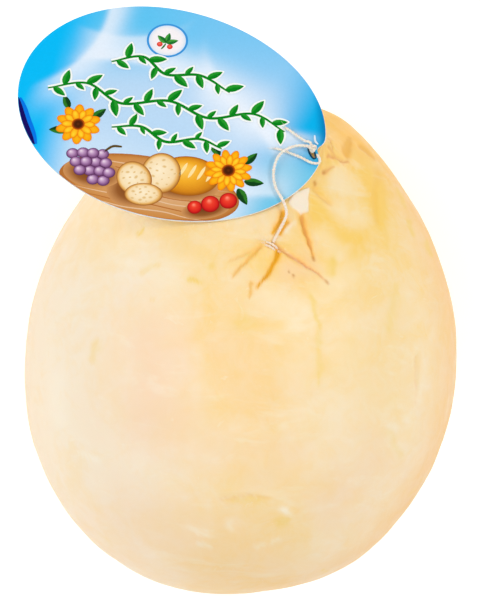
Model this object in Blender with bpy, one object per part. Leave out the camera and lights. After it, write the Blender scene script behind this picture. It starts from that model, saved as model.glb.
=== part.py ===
"""A kneaded cheese in its natural casing, tied shut with twine, with an oval card on the twine.

Lengths are in metres. The cheese lies on its side, with +Z up and +Y along it towards its
narrower, tied end. The origin is the middle of the flat spot that it rests on.
"""

import math

import bmesh
import bpy
from mathutils import Matrix, Vector, noise

MM = 0.001

# Cheese: half sizes at its middle, and how its outline narrows towards the tied end
HALF_WIDTH = 59.9 * MM
HALF_LENGTH = 72.3 * MM
CROWN = 58.0 * MM
KEEL = 52.0 * MM
TAPER = (-0.1205, -0.0579, -0.0677)
SIDE_BEND = -1.2 * MM
MIDDLE_AHEAD = 7.5 * MM
REST_HEIGHT = 47.0 * MM
SETTLE_SOFTNESS = 2.5 * MM
LUMP_HEIGHT = 0.7 * MM
LUMP_SCALE = 2.1
RELIEF_STARTS = 6.0 * MM

# Mesh of the cheese: its poles are at the tie and opposite it, with the rings closest at the tie
TIE_DIRECTION = (0.20, 0.58, 0.79)
SECTORS = 92
RINGS = 50
RING_CROWDING = 0.56

# Tied neck under the card's end, and the gathered ridge from it to the stitch, in plan
NECK = (14.0 * MM, 58.5 * MM)
NECK_HEIGHT = 4.4 * MM
NECK_RADIUS = 7.0 * MM
STITCH = (3.7 * MM, 33.1 * MM)
RIDGE_HEIGHT = 2.2 * MM
RIDGE_RADIUS = 4.2 * MM

# Creases of the casing in plan: from, to, depth and half-width, in millimetres
CREASES_MM = (
    ((7.2, 31.8), (2.2, 21.3), 1.5, 1.3),
    ((2.0, 31.9), (-5.2, 21.9), 0.7, 1.4),
    ((5.4, 32.9), (20.8, 24.6), 0.8, 1.3),
    ((14.6, 43.3), (16.6, 29.9), 1.3, 1.7),
    ((4.6, 44.0), (2.0, 36.3), 1.0, 1.5),
    ((7.6, 41.5), (5.2, 35.1), 1.0, 1.2),
    ((1.0, 31.5), (-6.8, 27.1), 0.5, 1.4),
    ((17.0, 57.1), (24.7, 58.2), 0.9, 1.3),
    ((18.8, 54.5), (24.2, 65.5), 0.9, 2.0),
    ((14.6, 49.1), (20.5, 45.5), 0.9, 1.6),
    ((26.0, 63.5), (31.0, 57.5), 0.6, 2.0),
)

# Card: its middle, its size, and how it lies on the shoulder of the cheese
CARD_MIDDLE = Vector((-25.8 * MM, 66.5 * MM, 80.6 * MM))
CARD_HALF_LENGTH = 43.4 * MM
CARD_HALF_WIDTH = 32.4 * MM
CARD_TAPER = 0.032
CARD_THICKNESS = 0.5 * MM
CARD_TURN = math.radians(-12.9)
CARD_ROLL = math.radians(-11.0)
CARD_SLOPE = math.radians(26.0)
CARD_BEND_RADIUS = 500.0 * MM
CARD_RINGS = 6
CARD_SECTORS = 72

# Notch in the card's end, where the twine goes down to the neck: its place along and across the card
NOTCH_INNER = 38.4 * MM
NOTCH_ACROSS = 2.3 * MM
NOTCH_RADIUS = 2.6 * MM
NOTCH_ARC_STEPS = 12

# Twine: its thickness, and its routes by points chosen on the casing and the card, in millimetres
TWINE_RADIUS = 0.45 * MM
TWINE_SIDES = 2
LOOP_SPACING = 2.2 * MM
LOOP_ROUTE_MM = (
    (4.5, 34.9, 99.3),
    (5.4, 37.6, 98.4),
    (6.5, 41.2, 97.0),
    (6.9, 44.3, 95.8),
    (6.2, 46.3, 94.9),
    (4.6, 48.6, 93.7),
    (3.6, 51.6, 92.3),
    (3.6, 54.8, 91.0),
    (4.5, 57.6, 90.1),
    (6.5, 59.6, 89.4),
    (9.1, 60.8, 88.6),
    (11.5, 61.0, 88.2),
)
TAIL_SPACING = 1.4 * MM
UPPER_TAIL_ROUTE_MM = (
    (12.3, 62.2, 87.4),
    (11.1, 62.4, 87.0),
    (8.8, 63.6, 85.9),
    (6.8, 64.8, 85.1),
    (5.4, 65.5, 84.7),
)
LOWER_TAIL_ROUTE_MM = (
    (14.6, 59.1, 88.4),
    (15.5, 57.9, 89.0),
    (15.4, 56.7, 89.8),
    (13.4, 56.6, 90.0),
    (10.2, 57.8, 89.2),
    (7.4, 58.6, 88.5),
    (5.2, 59.2, 88.0),
    (3.2, 59.5, 87.6),
)
CURVE_STEPS = 24

# Knots: their middles, half sizes and turns, and the lie of the strands over them
KNOT_MIDDLE = Vector((13.4 * MM, 60.6 * MM, 88.4 * MM))
KNOT_HALF_SIZES = (1.5 * MM, 1.5 * MM, 1.15 * MM)
KNOT_TURN = math.radians(20.0)
CASING_STITCH_MIDDLE = Vector((3.5 * MM, 33.0 * MM, 99.9 * MM))
CASING_STITCH_HALF_SIZES = (1.9 * MM, 1.15 * MM, 0.75 * MM)
CASING_STITCH_TURN = math.radians(-35.0)
STRAND_WAVES = 3
STRAND_RELIEF = 0.08


def named(name, mesh, rgb, roughness):
    """An object of that mesh or curve, with a material of its own."""
    obj = bpy.data.objects.new(name, mesh)
    bpy.context.scene.collection.objects.link(obj)
    material = bpy.data.materials.new(name)
    material.use_nodes = True
    shader = material.node_tree.nodes["Principled BSDF"]
    shader.inputs["Base Color"].default_value = (*rgb, 1.0)
    shader.inputs["Roughness"].default_value = roughness
    shader.inputs["Metallic"].default_value = 0.0
    obj.data.materials.append(material)
    return obj


def taper(t):
    """Share of the middle's width at t, which is -1 at the broad end and 1 at the tied end."""
    return 1.0 + t * (TAPER[0] + t * (TAPER[1] + t * TAPER[2]))


def settled(height):
    """Height above the table once the soft underside has flattened on it."""
    if height > SETTLE_SOFTNESS:
        return height
    return max(0.0, height + SETTLE_SOFTNESS) ** 2 / (4 * SETTLE_SOFTNESS)


def egg_point(direction):
    """Point of the smooth cheese that a direction of the unit sphere stands for."""
    share = taper(direction.y)
    rise = CROWN if direction.z > 0 else KEEL
    x = HALF_WIDTH * share * direction.x + SIDE_BEND * direction.y**2
    y = MIDDLE_AHEAD + HALF_LENGTH * direction.y
    return Vector((x, y, REST_HEIGHT + rise * share * direction.z))


def smooth(x, low, high):
    """0 below low, 1 above high, and a soft step between."""
    s = min(1.0, max(0.0, (x - low) / (high - low)))
    return s * s * (3 - 2 * s)


def along(point, start, end):
    """Share of the way from start to end, and the distance from that stretch, in plan."""
    run = (end[0] - start[0], end[1] - start[1])
    gap = (point[0] - start[0], point[1] - start[1])
    share = (gap[0] * run[0] + gap[1] * run[1]) / (run[0] ** 2 + run[1] ** 2)
    share = min(1.0, max(0.0, share))
    return share, math.hypot(gap[0] - share * run[0], gap[1] - share * run[1])


def relief(point):
    """How far the casing stands out of the smooth cheese: the neck, the ridge and the creases."""
    plan = (point.x, point.y)
    height = NECK_HEIGHT * math.exp(-((math.dist(plan, NECK) / NECK_RADIUS) ** 2))
    share, away = along(plan, NECK, STITCH)
    height += RIDGE_HEIGHT * (1 - 0.5 * share) * math.exp(-((away / RIDGE_RADIUS) ** 2))
    for start, end, depth, width in CREASES_MM:
        share, away = along((plan[0] / MM, plan[1] / MM), start, end)
        fade = 1 - smooth(share, 0.55, 1.0)
        height -= depth * MM * fade * math.exp(-((away / width) ** 2))
    return height


def cheese():
    """The cased cheese, with its flat spot, its soft lumps and the gathers of its casing."""
    bm = bmesh.new()
    bmesh.ops.create_uvsphere(bm, u_segments=SECTORS, v_segments=RINGS, radius=1.0)
    turn = Vector((0, 0, 1)).rotation_difference(Vector(TIE_DIRECTION))
    for vert in bm.verts:
        sweep = math.acos(max(-1.0, min(1.0, vert.co.z))) / math.pi
        angle = math.pi * (sweep * (1 - RING_CROWDING) + RING_CROWDING * sweep**2)
        flat = Vector((vert.co.x, vert.co.y, 0.0))
        flat = flat.normalized() * math.sin(angle) if flat.length > 1e-6 else flat * 0.0
        vert.co = turn @ Vector((flat.x, flat.y, math.cos(angle)))
    directions = [vert.co.copy() for vert in bm.verts]
    for vert, direction in zip(bm.verts, directions):
        vert.co = egg_point(direction)
    bm.normal_update()
    outward = [vert.normal.copy() for vert in bm.verts]
    for vert, direction, normal in zip(bm.verts, directions, outward):
        lumps = LUMP_HEIGHT * noise.noise(direction * LUMP_SCALE)
        shown = smooth(vert.co.z - REST_HEIGHT, RELIEF_STARTS, 2 * RELIEF_STARTS)
        vert.co += normal * (lumps + shown * relief(vert.co))
    for vert in bm.verts:
        vert.co.z = settled(vert.co.z)
    bmesh.ops.triangulate(bm, faces=bm.faces[:])
    mesh = bpy.data.meshes.new("cheese")
    bm.to_mesh(mesh)
    bm.free()
    mesh.shade_smooth()
    return named("cheese", mesh, (0.91, 0.68, 0.38), 0.42)


def card_point(s, q, lift=0.0):
    """Place of a point of the card, s along it and q across it, raised by lift off its middle layer."""
    slope = CARD_SLOPE + q / CARD_BEND_RADIUS
    out = (math.sin(slope) - math.sin(CARD_SLOPE)) * CARD_BEND_RADIUS
    down = (math.cos(CARD_SLOPE) - math.cos(slope)) * CARD_BEND_RADIUS
    local = Vector((s, out + lift * math.sin(slope), -down + lift * math.cos(slope)))
    turn = Matrix.Rotation(CARD_TURN, 3, "Z") @ Matrix.Rotation(CARD_ROLL, 3, "Y")
    return CARD_MIDDLE + turn @ local


def card():
    """The oval card as a bent sheet with thickness, its end notched where the twine pulls on it."""
    bm = bmesh.new()
    rings = []
    for i in range(1, CARD_RINGS + 1):
        reach = i / CARD_RINGS
        ring = []
        for k in range(CARD_SECTORS):
            angle = 2 * math.pi * k / CARD_SECTORS
            s = CARD_HALF_LENGTH * reach * math.cos(angle)
            q = CARD_HALF_WIDTH * reach * math.sin(angle)
            q *= 1 - CARD_TAPER * s / CARD_HALF_LENGTH
            ring.append(bm.verts.new(card_point(s, q, -CARD_THICKNESS / 2)))
        rings.append(ring)
    middle = bm.verts.new(card_point(0.0, 0.0, -CARD_THICKNESS / 2))
    for k in range(CARD_SECTORS):
        after = (k + 1) % CARD_SECTORS
        bm.faces.new((middle, rings[0][k], rings[0][after]))
        for inner, outer in zip(rings, rings[1:]):
            bm.faces.new((inner[k], outer[k], outer[after], inner[after]))
    mesh = bpy.data.meshes.new("card")
    bm.to_mesh(mesh)
    bm.free()
    obj = named("card", mesh, (0.45, 0.75, 0.92), 0.3)
    solid = obj.modifiers.new("thickness", "SOLIDIFY")
    solid.thickness = CARD_THICKNESS
    solid.offset = 1.0
    solid.use_even_offset = True
    cut = obj.modifiers.new("notch", "BOOLEAN")
    cut.operation = "DIFFERENCE"
    cut.object = notch_cutter()
    return obj


def notch_cutter():
    """The shape that the notch takes out of the card: a rounded slot open at the card's end."""
    bm = bmesh.new()
    outline = []
    for k in range(NOTCH_ARC_STEPS + 1):
        angle = math.pi / 2 + math.pi * k / NOTCH_ARC_STEPS
        s = NOTCH_INNER + NOTCH_RADIUS + NOTCH_RADIUS * math.cos(angle)
        outline.append((s, NOTCH_ACROSS + NOTCH_RADIUS * math.sin(angle)))
    beyond = CARD_HALF_LENGTH * 1.2
    outline.append((beyond, NOTCH_ACROSS - NOTCH_RADIUS))
    outline.append((beyond, NOTCH_ACROSS + NOTCH_RADIUS))
    reach = 4 * CARD_THICKNESS
    low = bm.faces.new([bm.verts.new(card_point(s, q, -reach)) for s, q in outline])
    high = bm.faces.new([bm.verts.new(card_point(s, q, reach)) for s, q in outline])
    bmesh.ops.bridge_loops(bm, edges=list(low.edges) + list(high.edges))
    bmesh.ops.recalc_face_normals(bm, faces=bm.faces[:])
    mesh = bpy.data.meshes.new("notch_cutter")
    bm.to_mesh(mesh)
    bm.free()
    cutter = bpy.data.objects.new("notch_cutter", mesh)
    bpy.context.scene.collection.objects.link(cutter)
    cutter.hide_render = True
    cutter.display_type = "WIRE"
    return cutter


def smooth_route(route_mm, spacing):
    """Points about that far apart on the smooth curve through the route's points."""
    knots = [Vector(point) * MM for point in route_mm]
    ends = [2 * knots[0] - knots[1]] + knots + [2 * knots[-1] - knots[-2]]
    fine = []
    for a, b, c, d in zip(ends, ends[1:], ends[2:], ends[3:]):
        for i in range(CURVE_STEPS):
            t = i / CURVE_STEPS
            bent = 2 * b + (c - a) * t + (2 * a - 5 * b + 4 * c - d) * t**2 + (3 * b - a - 3 * c + d) * t**3
            fine.append(bent / 2)
    fine.append(knots[-1])
    run = [0.0]
    for before, after in zip(fine, fine[1:]):
        run.append(run[-1] + (after - before).length)
    steps = max(2, round(run[-1] / spacing))
    points = []
    place = 0
    for i in range(steps + 1):
        wanted = run[-1] * i / steps
        while place < len(fine) - 2 and run[place + 1] < wanted:
            place += 1
        share = (wanted - run[place]) / (run[place + 1] - run[place])
        points.append(fine[place].lerp(fine[place + 1], share))
    return points


def twine(name, route_mm, spacing):
    """A length of twine as a round tube with closed ends."""
    points = smooth_route(route_mm, spacing)
    curve = bpy.data.curves.new(name, "CURVE")
    curve.dimensions = "3D"
    spline = curve.splines.new("POLY")
    spline.points.add(len(points) - 1)
    for slot, point in zip(spline.points, points):
        slot.co = (*point, 1.0)
    curve.bevel_depth = TWINE_RADIUS
    curve.bevel_resolution = TWINE_SIDES
    curve.use_fill_caps = True
    return named(name, curve, (0.84, 0.76, 0.66), 0.7)


def knot(name, middle, half_sizes, turn):
    """A small tight knot, with its strands showing as low waves that run round it aslant."""
    bm = bmesh.new()
    bmesh.ops.create_icosphere(bm, subdivisions=3, radius=1.0)
    for vert in bm.verts:
        angle = math.atan2(vert.co.y, vert.co.x)
        swell = 1 - STRAND_RELIEF + STRAND_RELIEF * math.sin(STRAND_WAVES * (angle + vert.co.z))
        vert.co = Vector([c * swell * half for c, half in zip(vert.co, half_sizes)])
    mesh = bpy.data.meshes.new(name)
    bm.to_mesh(mesh)
    bm.free()
    mesh.shade_smooth()
    obj = named(name, mesh, (0.84, 0.76, 0.66), 0.7)
    obj.location = middle
    obj.rotation_euler.z = turn


for old in list(bpy.data.objects):
    bpy.data.objects.remove(old)
cheese()
card()
twine("twine_loop", LOOP_ROUTE_MM, LOOP_SPACING)
twine("twine_tail_upper", UPPER_TAIL_ROUTE_MM, TAIL_SPACING)
twine("twine_tail_lower", LOWER_TAIL_ROUTE_MM, TAIL_SPACING)
knot("twine_knot", KNOT_MIDDLE, KNOT_HALF_SIZES, KNOT_TURN)
knot("casing_stitch", CASING_STITCH_MIDDLE, CASING_STITCH_HALF_SIZES, CASING_STITCH_TURN)
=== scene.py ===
# %% [markdown]
# # A kneaded cheese in its casing, tied with twine that carries a printed card
# The cheese was pressed by hand into a natural casing, and the casing was gathered and tied shut. It lies on
# its side, so that the tie and the card on the twine show from above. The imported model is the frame: every
# piece below is fitted over one of its solids, and nothing is moved or resized.

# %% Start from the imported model
import math

import bpy
import numpy as np
from mathutils import Matrix, Vector, noise


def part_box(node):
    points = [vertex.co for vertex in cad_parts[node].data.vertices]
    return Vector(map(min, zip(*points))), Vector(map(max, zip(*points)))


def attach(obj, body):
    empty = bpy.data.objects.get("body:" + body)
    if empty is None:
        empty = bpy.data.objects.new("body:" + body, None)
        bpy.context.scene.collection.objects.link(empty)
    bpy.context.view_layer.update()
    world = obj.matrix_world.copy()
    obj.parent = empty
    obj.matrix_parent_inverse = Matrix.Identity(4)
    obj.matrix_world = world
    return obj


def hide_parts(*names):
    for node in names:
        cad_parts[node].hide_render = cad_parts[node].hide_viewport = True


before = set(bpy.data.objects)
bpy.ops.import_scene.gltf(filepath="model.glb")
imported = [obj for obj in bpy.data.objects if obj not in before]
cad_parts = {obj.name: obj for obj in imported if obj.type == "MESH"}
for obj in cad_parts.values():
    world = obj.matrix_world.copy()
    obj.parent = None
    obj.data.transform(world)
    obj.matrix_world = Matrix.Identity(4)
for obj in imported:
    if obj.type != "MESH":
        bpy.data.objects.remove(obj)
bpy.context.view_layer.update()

MM = 0.001

# %% [markdown]
# ## Camera
# The photograph looks straight down on the cheese with a long lens, and the cheese's long axis leans a little
# to the right. A camera with no turn but a roll about Z looks straight down. Its lens follows from how many
# millimetres a pixel covers at the cheese's widest level.

# %% Camera over the cheese
IMAGE_HEIGHT_PX = 606
MM_PER_PIXEL = 0.28
WIDEST_LEVEL = 47.0 * MM
CAMERA_DISTANCE = 1300.0 * MM
CAMERA_OVER = (-1.9 * MM, 16.8 * MM)
CAMERA_ROLL = math.radians(5.94)
SENSOR_HEIGHT_MM = 24.0

bpy.ops.object.camera_add(
    location=(*CAMERA_OVER, WIDEST_LEVEL + CAMERA_DISTANCE), rotation=(0.0, 0.0, CAMERA_ROLL)
)
camera = bpy.context.object
camera.data.sensor_fit = "VERTICAL"
camera.data.sensor_height = SENSOR_HEIGHT_MM
camera.data.lens = SENSOR_HEIGHT_MM * CAMERA_DISTANCE / (IMAGE_HEIGHT_PX * MM_PER_PIXEL * MM)
bpy.context.scene.camera = camera
print("lens, mm:", round(camera.data.lens, 1))


# %% [markdown]
# ## Words used all through
# Operators act on whatever is selected, so each step first deselects all and then picks its own object.
# Colours are chosen as the eye sees them on a screen, and the shader wants them linear. A route is rows of
# points along a line.

# %% Picking and adding objects, colours, soft steps, routes
def pick(*objects):
    """Selects only these objects, the first of them active."""
    bpy.ops.object.select_all(action="DESELECT")
    for obj in objects:
        obj.select_set(True)
    bpy.context.view_layer.objects.active = objects[0]


def linear(red, green, blue):
    """A screen colour, 0 to 255 each, as the linear colour that a shader reads."""
    share = np.array([red, green, blue]) / 255.0
    return tuple(np.where(share <= 0.04045, share / 12.92, ((share + 0.055) / 1.055) ** 2.4))


def soft_step(x, low, high):
    """0 below low, 1 above high, and a soft rise between."""
    share = np.clip((x - low) / (high - low), 0.0, 1.0)
    return share * share * (3.0 - 2.0 * share)


def places(obj):
    """An object's vertices as rows of x, y, z."""
    rows = np.empty(len(obj.data.vertices) * 3)
    obj.data.vertices.foreach_get("co", rows)
    return rows.reshape(-1, 3)


def place(obj, rows):
    """Puts the object's vertices at these rows of x, y, z."""
    obj.data.vertices.foreach_set("co", rows.ravel())
    obj.data.update()


def added(operator, **settings):
    """The object that one of Blender's operators adds, with nothing else selected."""
    bpy.ops.object.select_all(action="DESELECT")
    operator(**settings)
    return bpy.context.object


def meshed(name, rows, faces):
    """A new object in the scene, from rows of x, y, z and faces."""
    mesh = bpy.data.meshes.new(name)
    mesh.from_pydata(rows, [], faces)
    obj = bpy.data.objects.new(name, mesh)
    bpy.context.scene.collection.objects.link(obj)
    return obj


def settle_modifier(obj, modifier):
    """Makes the modifier's result the object's own mesh."""
    pick(obj)
    bpy.ops.object.modifier_apply(modifier=modifier.name)


def bell(away, width):
    """1 in the middle and softly down to nothing some widths away."""
    return np.exp(-((away / width) ** 2))


def steps(points):
    """Distance from each point of a route to the next."""
    return np.linalg.norm(np.diff(points, axis=0), axis=1)


def run_along(points):
    """Distance run from the start of a route to each of its points."""
    return np.concatenate([[0.0], np.cumsum(steps(points))])


def lump_noise(rows, scale):
    """Smooth noise from about -1 to 1 at each row, with that many lumps for each unit of length."""
    return np.array([noise.noise(Vector(row) * scale) for row in rows])


# %% [markdown]
# ## Materials
# A small builder for node materials keeps each one short: it makes the Principled shader, and each finish
# then adds its own noise, ramps and bump. Patterns read Object coordinates, which are metres here, so a noise
# scale of 200 has lumps of about 5 mm.

# %% Building materials
class Finish:
    """A node material under construction, with its Principled shader."""

    def __init__(self, name, roughness, **sockets):
        self.material = bpy.data.materials.new(name)
        self.material.use_nodes = True
        self.tree = self.material.node_tree
        self.shader = self.tree.nodes["Principled BSDF"]
        self.shader.inputs["Roughness"].default_value = roughness
        for socket, value in sockets.items():
            self.shader.inputs[socket.replace("_", " ")].default_value = value

    def node(self, kind, *sources, **values):
        """A node of that kind, its first sockets linked and its settings or other sockets set by name."""
        made = self.tree.nodes.new(kind)
        for name, value in values.items():
            if hasattr(made, name):
                setattr(made, name, value)
            else:
                made.inputs[name.replace("_", " ")].default_value = value
        for source, socket in zip(sources, made.inputs):
            self.tree.links.new(source, socket)
        return made

    def coordinates(self):
        """Object coordinates, in metres."""
        return self.node("ShaderNodeTexCoord").outputs["Object"]

    def noise(self, scale, detail=3.0, roughness=0.55, stretch=(1.0, 1.0, 1.0), swirl=0.0):
        """Noise over Object coordinates, stretched along the axes and swirled into wisps."""
        mapped = self.node("ShaderNodeMapping", self.coordinates(), Scale=stretch).outputs["Vector"]
        made = self.node("ShaderNodeTexNoise", mapped, Scale=scale, Detail=detail, Roughness=roughness)
        made.inputs["Distortion"].default_value = swirl
        return made.outputs["Fac"]

    def attribute(self, name, output="Fac"):
        return self.node("ShaderNodeAttribute", attribute_name=name).outputs[output]

    def span(self, source, low, high, to_low=0.0, to_high=1.0):
        """The source's stretch from low to high as to_low to to_high, held at both ends."""
        made = self.node(
            "ShaderNodeMapRange", source, From_Min=low, From_Max=high, To_Min=to_low, To_Max=to_high
        )
        made.interpolation_type = "SMOOTHSTEP"
        return made.outputs["Result"]

    def position(self, axis):
        """Object coordinate along one axis, in metres."""
        return self.node("ShaderNodeSeparateXYZ", self.coordinates()).outputs[axis]

    def sum(self, first, second):
        """first plus second."""
        return self.node("ShaderNodeMath", first, second, operation="ADD").outputs[0]

    def mix(self, share, first, second, blend="MIX"):
        """A colour between first and second, each a colour or a socket; share is a number or a socket."""
        made = self.node("ShaderNodeMix", data_type="RGBA", blend_type=blend)
        for socket, value in ((0, share), (6, first), (7, second)):
            if isinstance(value, bpy.types.NodeSocket):
                self.tree.links.new(value, made.inputs[socket])
            elif socket == 0:
                made.inputs[socket].default_value = value
            else:
                made.inputs[socket].default_value = (*value, 1.0)
        return made.outputs[2]

    def colour(self, source):
        self.tree.links.new(source, self.shader.inputs["Base Color"])

    def rough(self, source):
        self.tree.links.new(source, self.shader.inputs["Roughness"])

    def bump(self, source, height, strength=1.0, after=None):
        """Fine relief of that height in metres, laid over an earlier bump where one is given."""
        made = self.node("ShaderNodeBump", Strength=strength, Distance=height)
        self.tree.links.new(source, made.inputs["Height"])
        if after is not None:
            self.tree.links.new(after, made.inputs["Normal"])
        self.tree.links.new(made.outputs["Normal"], self.shader.inputs["Normal"])
        return made.outputs["Normal"]


# %% [markdown]
# ## Twine
# The twine is three thin strands laid together, ivory and a little hairy. A plain tube would look like wire,
# so the tube's cross-section has three lobes, and it turns as it runs along the route. The route is the one
# that the solids have: from the stitch in the casing, over the card, to the knot at the card's end.

# %% Routes of the twine
TWINE_DIAMETER = 0.9 * MM
LOOP_ROUTE = np.array([
    (5.3, 33.9, 99.2), (5.9, 35.6, 98.6), (6.6, 37.3, 98.0), (7.6, 39.9, 97.3),
    (8.1, 42.0, 96.7), (7.4, 44.3, 95.85), (6.2, 46.3, 94.9), (4.6, 48.6, 93.7),
    (3.6, 51.6, 92.3), (3.6, 54.8, 91.0), (4.5, 57.6, 90.1), (6.5, 59.6, 89.4),
    (9.1, 60.8, 88.6), (11.5, 61.0, 88.2), (12.4, 60.9, 88.3),
]) * MM
UPPER_TAIL_ROUTE = np.array([
    (13.1, 61.4, 88.1), (12.3, 62.2, 87.4), (11.1, 62.4, 87.0), (8.8, 63.6, 85.9),
    (6.8, 64.8, 85.1), (5.4, 65.5, 84.7),
]) * MM
LOWER_TAIL_ROUTE = np.array([
    (14.6, 59.1, 88.4), (15.5, 57.9, 89.0), (15.4, 56.7, 89.8), (13.4, 56.6, 90.0),
    (10.2, 57.8, 89.2), (7.4, 58.6, 88.5), (5.2, 59.2, 88.0), (3.2, 59.5, 87.6),
]) * MM
STEPS_A_STRETCH = 24


def smooth_route(route, spacing):
    """Points about that far apart on the smooth curve through the route's points."""
    ends = np.vstack([2 * route[0] - route[1], route, 2 * route[-1] - route[-2]])
    shares = np.linspace(0.0, 1.0, STEPS_A_STRETCH, endpoint=False)[:, None]
    fine = []
    for a, b, c, d in zip(ends, ends[1:], ends[2:], ends[3:]):
        cubic = 2 * b + (c - a) * shares + (2 * a - 5 * b + 4 * c - d) * shares**2
        fine.append((cubic + (3 * b - a - 3 * c + d) * shares**3) / 2)
    fine = np.vstack([*fine, route[-1]])
    run = run_along(fine)
    wanted = np.linspace(0.0, run[-1], max(2, round(run[-1] / spacing)) + 1)
    return np.stack([np.interp(wanted, run, fine[:, axis]) for axis in range(3)], axis=1)


LOOP_PATH = smooth_route(LOOP_ROUTE, 0.5 * MM)
LOOP_LENGTH = float(steps(LOOP_PATH).sum())
print("loop, mm:", round(LOOP_LENGTH / MM, 1))


# %% [markdown]
# A tube along a route needs a pair of side directions at each point. Carrying one pair along the curve,
# turned only as much as the curve turns, keeps the tube from twisting by itself, so all the twist is the
# yarn's own.

# %% Tubes along a route
def side_directions(points):
    """Two directions square to the route at each point, carried along without twist."""
    ahead = np.gradient(points, axis=0)
    ahead /= np.linalg.norm(ahead, axis=1)[:, None]
    side = np.cross(ahead[0], (0.0, 0.0, 1.0))
    if np.linalg.norm(side) < 0.1:
        side = np.cross(ahead[0], (1.0, 0.0, 0.0))
    sides = []
    for direction in ahead:
        side = side - direction * np.dot(side, direction)
        side /= np.linalg.norm(side)
        sides.append(side)
    sides = np.array(sides)
    return sides, np.cross(ahead, sides)


def tube(points, radii, sides):
    """Vertices and faces of a closed tube; radii has a row of one radius a side for each point."""
    across, up = side_directions(points)
    angles = np.arange(sides) * 2 * math.pi / sides
    rings = points[:, None] + radii[..., None] * (
        np.cos(angles)[None, :, None] * across[:, None] + np.sin(angles)[None, :, None] * up[:, None]
    )
    count = len(points)
    faces = []
    for i in range(count - 1):
        for k in range(sides):
            after = (k + 1) % sides
            faces.append((i * sides + k, i * sides + after, (i + 1) * sides + after, (i + 1) * sides + k))
    faces.append(tuple(range(sides))[::-1])
    faces.append(tuple((count - 1) * sides + k for k in range(sides)))
    return rings.reshape(-1, 3), faces


def made_of(name, shapes, material):
    """One object of several closed shapes, each given as its vertices and faces."""
    vertices, faces = [], []
    for rows, loops in shapes:
        start = len(vertices)
        vertices.extend(map(tuple, rows))
        faces.extend(tuple(start + v for v in loop) for loop in loops)
    obj = meshed(name, vertices, faces)
    obj.data.validate()
    obj.data.materials.append(material)
    pick(obj)
    bpy.ops.object.mode_set(mode="EDIT")
    bpy.ops.mesh.select_all(action="SELECT")
    bpy.ops.mesh.normals_make_consistent(inside=False)
    bpy.ops.object.mode_set(mode="OBJECT")
    bpy.ops.object.shade_smooth_by_angle(angle=math.radians(60))
    return obj


# %% [markdown]
# Yarn is round strands pressed together. Around the tube, the distance to the outside of three circles gives
# the lobes, and a floor under it keeps the grooves between them from cutting too deep.

# %% Yarn and loose fibres
PLIES = 3
TWIST_PITCH = 3.0 * MM
PLY_SHARE = 0.46
GROOVE_FLOOR = 0.66
YARN_SIDES = 24
TIGHT_SPACING = 0.12 * MM
YARN_FULLNESS = 1.04
# Share of the thickness by which the yarn swells and thins, and over what length
YARN_SWELLS = ((0.05, 4.3 * MM), (0.03, 1.7 * MM))
FIBRE_POINTS = 6
FIBRE_SIDES = 3
FIBRE_CURL = 0.28
FIBRE_TIP = 0.45
HAIR_RADIUS = 0.018 * MM
HAIR_SPACING = 0.3 * MM
FRAYED_RADIUS = 0.05 * MM
rng = np.random.default_rng(7)


def yarn(route, diameter, spacing=0.16 * MM, taper_ends=0.0):
    """Vertices and faces of a twisted yarn along the route."""
    points = smooth_route(route, spacing)
    run = run_along(points)
    angles = np.arange(YARN_SIDES) * 2 * math.pi / YARN_SIDES
    phase = angles[None] - run[:, None] * 2 * math.pi / TWIST_PITCH
    off = (phase * PLIES / (2 * math.pi) + 0.5) % 1.0 - 0.5
    off = off * 2 * math.pi / PLIES
    centre = 1.0 - PLY_SHARE
    inside = np.clip(PLY_SHARE**2 - (centre * np.sin(off)) ** 2, 0.0, None)
    lobes = np.maximum(centre * np.cos(off) + np.sqrt(inside), GROOVE_FLOOR)
    uneven = 1.0
    for swell, wave in YARN_SWELLS:
        uneven = uneven + swell * np.sin(run * 2 * math.pi / wave)
    ends = np.minimum(run, run[-1] - run) / (diameter / 2)
    rounded = 1.0 - taper_ends * (1.0 - soft_step(ends, 0.0, 1.5))
    return tube(points, diameter / 2 * lobes * (uneven * rounded)[:, None] / YARN_FULLNESS, YARN_SIDES)


def fibre(start, direction, reach, radius):
    """Vertices and faces of one loose fibre, curling as it leaves the yarn."""
    shares = np.linspace(0.0, 1.0, FIBRE_POINTS)[:, None]
    curl = rng.normal(size=3) * reach * FIBRE_CURL
    points = start + direction * reach * shares + curl * shares**2
    radii = np.linspace(radius, radius * FIBRE_TIP, FIBRE_POINTS)[:, None] * np.ones(FIBRE_SIDES)
    return tube(points, radii, FIBRE_SIDES)


def hairs(route, diameter, count):
    """Short fibres standing off a yarn all along its route."""
    points = smooth_route(route, HAIR_SPACING)
    across, up = side_directions(points)
    made = []
    for at in rng.integers(1, len(points) - 1, count):
        angle = rng.uniform(0, 2 * math.pi)
        out = math.cos(angle) * across[at] + math.sin(angle) * up[at]
        lean = (points[at + 1] - points[at - 1]) / np.linalg.norm(points[at + 1] - points[at - 1])
        direction = out * 0.7 + lean * rng.choice([-1.0, 1.0])
        start = points[at] + out * diameter * 0.4
        made.append(fibre(start, direction, rng.uniform(0.5, 1.3) * MM, HAIR_RADIUS))
    return made


def frayed_end(route, diameter, count, reach):
    """Fibres fanning out of the last point of a route."""
    ahead = (route[-1] - route[-2]) / np.linalg.norm(route[-1] - route[-2])
    made = []
    for _ in range(count):
        spread = rng.normal(size=3) * 0.28
        spread[2] = abs(spread[2]) * 0.5
        start = route[-1] - ahead * 0.25 * MM + rng.normal(size=3) * diameter * 0.13
        made.append(fibre(start, ahead + spread, reach * rng.uniform(0.6, 1.1), FRAYED_RADIUS))
    return made


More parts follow.
